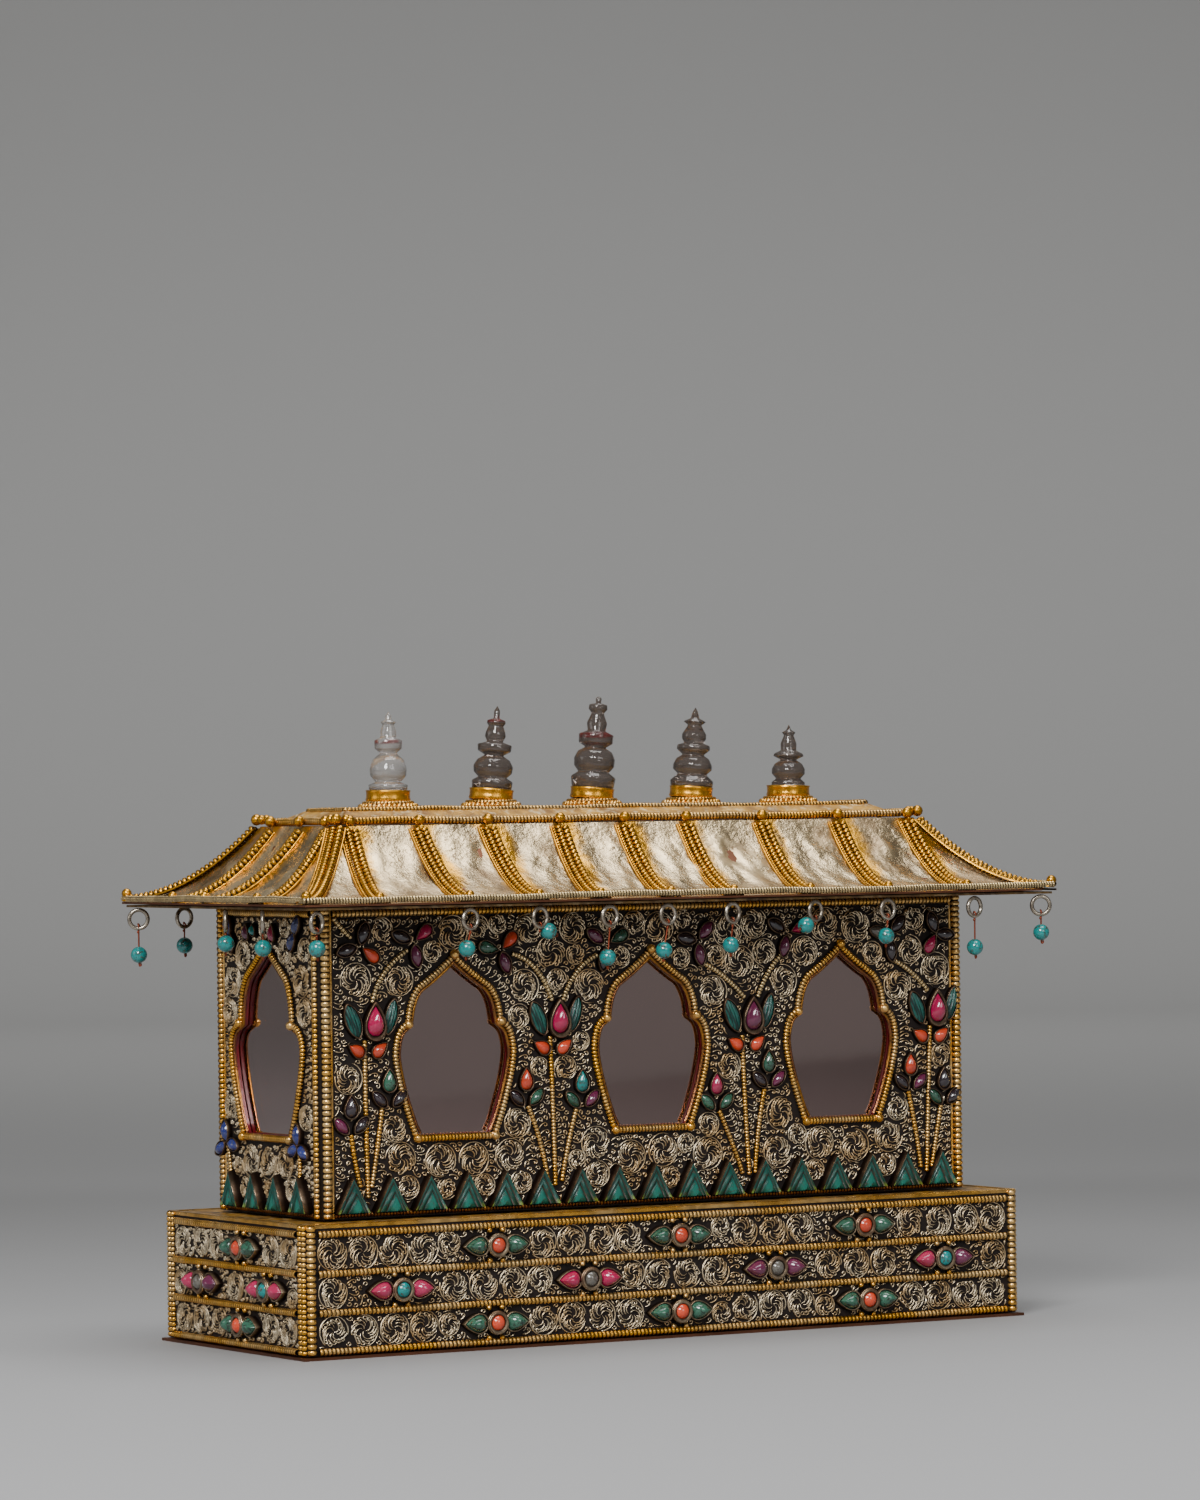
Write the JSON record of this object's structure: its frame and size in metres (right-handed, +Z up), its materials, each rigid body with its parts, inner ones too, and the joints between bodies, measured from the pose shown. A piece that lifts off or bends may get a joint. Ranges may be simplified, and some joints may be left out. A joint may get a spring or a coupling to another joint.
{
  "type": "buddhist altar box",
  "caption": "Gilded shrine-shaped altar box with ogee windows, filigree, set stones, a hipped roof, rock-crystal finials and turquoise pendants.",
  "frame": {"origin": "middle of the footprint on the underside of the base plate", "axes": "+Z up; +X along the length, to the right seen from the front; the front with three windows faces -Y"},
  "size_m": [0.316, 0.144, 0.231],
  "materials": {
    "filigree": "satin",
    "silver_roof": "satin",
    "copper": "satin",
    "gold": "polished",
    "pane": "polished",
    "crystal": "polished",
    "turquoise": "satin"
  },
  "bodies": {
    "root": {"base_plate": "copper", "plinth": "filigree", "front_wall": "filigree", "back_wall": "filigree", "left_wall": "filigree", "right_wall": "filigree", "front_glass": "pane", "left_glass": "pane", "right_glass": "pane", "eave_soffit": "copper", "roof_skirt": "silver_roof", "roof_cap": "silver_roof", "eave_rim": "gold", "upper_rim": "gold", "tier_rim": "gold", "finial_collar_1": "gold", "crystal_finial_1": "crystal", "finial_collar_2": "gold", "crystal_finial_2": "crystal", "finial_collar_3": "gold", "crystal_finial_3": "crystal", "finial_collar_4": "gold", "crystal_finial_4": "crystal", "finial_collar_5": "gold", "crystal_finial_5": "crystal", "pendant_01": "turquoise", "pendant_02": "turquoise", "pendant_03": "turquoise", "pendant_04": "turquoise", "pendant_05": "turquoise", "pendant_06": "turquoise", "pendant_07": "turquoise", "pendant_08": "turquoise", "pendant_09": "turquoise", "pendant_10": "turquoise", "pendant_11": "turquoise", "pendant_12": "turquoise", "pendant_13": "turquoise", "pendant_14": "turquoise", "pendant_15": "turquoise", "pendant_16": "turquoise", "pendant_17": "turquoise"}
  },
  "joints": []
}
